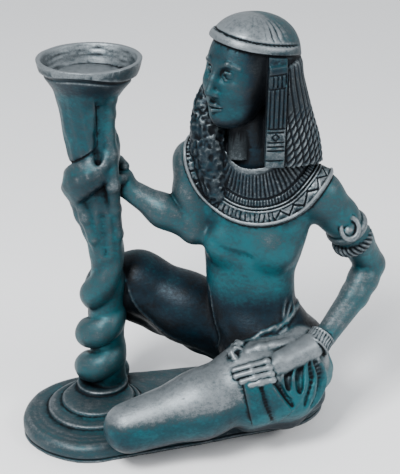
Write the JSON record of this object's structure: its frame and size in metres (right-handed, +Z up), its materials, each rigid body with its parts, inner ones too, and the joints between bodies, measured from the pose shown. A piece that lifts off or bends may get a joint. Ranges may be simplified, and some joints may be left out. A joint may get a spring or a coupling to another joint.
{
  "type": "egyptian statue",
  "caption": "Kneeling Egyptian woman in a long wig and broad collar, a knee raised, holding a serpent-wound stem with a candle cup, cast with its low oval base.",
  "frame": {"origin": "middle of the footprint box on the underside of the base, where it meets the floor", "axes": "+Z up, -Y the pictured front that the chest faces, +X from the candlestick towards the figure (the viewer's right)"},
  "size_m": [0.2578, 0.1426, 0.3002],
  "materials": {
    "painted_plaster": "deep teal metallic paint, dry-brushed silver on the raised parts, near black in the hollows, satin"
  },
  "bodies": {
    "root": {"statue": "painted_plaster"}
  },
  "joints": []
}
